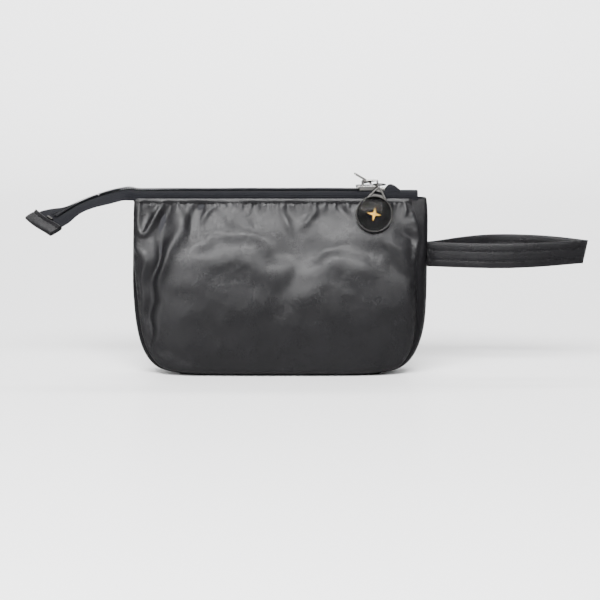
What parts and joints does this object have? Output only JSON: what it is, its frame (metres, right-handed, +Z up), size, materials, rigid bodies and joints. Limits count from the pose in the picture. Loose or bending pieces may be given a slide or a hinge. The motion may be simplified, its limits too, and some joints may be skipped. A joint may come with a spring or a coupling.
{
  "type": "makeup bag",
  "caption": "Small zip-top makeup bag in satin dark leather with a domed charm on the slider, a zip tail with a folded end tab, and a flat wrist loop at one side.",
  "frame": {"origin": "centre of the underside of the base", "axes": "+Z up, +X towards the wrist strap, the front with the charm faces -Y"},
  "size_m": [0.3653, 0.0522, 0.1301],
  "materials": {
    "satin_leather": "satin",
    "lining_cloth": "matte",
    "zip_tape": "matte",
    "zip_coil": "satin",
    "nickel": "polished",
    "black_enamel": "gloss",
    "gold_foil": "polished",
    "clear_resin": "gloss"
  },
  "bodies": {
    "bag": {"front_panel": "satin_leather", "left_gusset": "satin_leather", "right_gusset": "satin_leather", "base_panel": "satin_leather", "front_lining": "lining_cloth", "left_gusset_lining": "lining_cloth", "right_gusset_lining": "lining_cloth", "base_lining": "lining_cloth", "front_zip_tape": "zip_tape", "front_zip_coil": "zip_coil", "front_top_stop": "nickel", "front_tape_fold": "zip_tape"},
    "rear_wall": {"back_panel": "satin_leather", "back_lining": "lining_cloth", "rear_zip_tape": "zip_tape", "rear_zip_coil": "zip_coil", "rear_top_stop": "nickel", "rear_tape_fold": "zip_tape"},
    "slider": {"slider_body": "nickel", "slider_crown": "nickel", "lock_spring": "nickel"},
    "pull_tab": {"pull_tab": "nickel"},
    "charm_ring": {"charm_ring": "nickel"},
    "charm": {"charm_cup": "nickel", "charm_insert": "black_enamel", "charm_motif": "gold_foil", "charm_dome": "clear_resin"},
    "tail": {"tail_front_tape": "zip_tape", "tail_rear_tape": "zip_tape", "tail_front_coil": "zip_coil", "tail_rear_coil": "zip_coil"},
    "tail_tip": {"tail_end_front_tape": "zip_tape", "tail_end_rear_tape": "zip_tape", "tail_end_front_coil": "zip_coil", "tail_end_rear_coil": "zip_coil", "tail_end_tab": "satin_leather", "bottom_stop": "nickel"},
    "strap": {"strap_outer": "satin_leather", "strap_lining": "satin_leather"}
  },
  "joints": [
    {"name": "slider_travel", "type": "slide", "parent": "bag", "child": "slider", "axis": [-1, 0, 0], "range_m": [0, 0.14]},
    {"name": "mouth_open", "type": "hinge", "parent": "bag", "child": "rear_wall", "pos_m": [0, 0.02, 0.0012], "axis": [-1, 0, 0], "range_deg": [0, 16], "deforming": ["rear_zip_tape", "rear_zip_coil"]},
    {"name": "pull_tab_flip", "type": "hinge", "parent": "slider", "child": "pull_tab", "pos_m": [0.0587, 0, 0.1233], "axis": [0, 1, 0], "range_deg": [0, 59]},
    {"name": "ring_lift", "type": "hinge", "parent": "slider", "child": "charm_ring", "pos_m": [0.0642, 0.0024, 0.12255], "axis": [-1, 0, 0], "range_deg": [0, 18]},
    {"name": "charm_swing", "type": "hinge", "parent": "charm_ring", "child": "charm", "pos_m": [0.0642, -0.0056, 0.12255], "axis": [-1, 0, 0], "range_deg": [0, 70]},
    {"name": "tail_bend", "type": "hinge", "parent": "bag", "child": "tail", "pos_m": [-0.0972, 0, 0.1173], "axis": [0, 1, 0], "range_deg": [-35, 60], "deforming": ["tail_front_tape", "tail_rear_tape", "tail_front_coil", "tail_rear_coil"]},
    {"name": "tail_tip_bend", "type": "hinge", "parent": "tail", "child": "tail_tip", "pos_m": [-0.1203, 0.002, 0.1126], "axis": [0, 1, 0], "range_deg": [-25, 50], "deforming": ["tail_end_front_tape", "tail_end_rear_tape", "tail_end_front_coil", "tail_end_rear_coil"]},
    {"name": "strap_turn", "type": "hinge", "parent": "bag", "child": "strap", "pos_m": [0.0974, 0, 0.0774], "axis": [0, 0, 1], "range_deg": [-55, 55]}
  ],
  "couplings": [
    {"joint": "mouth_open", "follows": "slider_travel", "rad_per_m": 1.994}
  ]
}
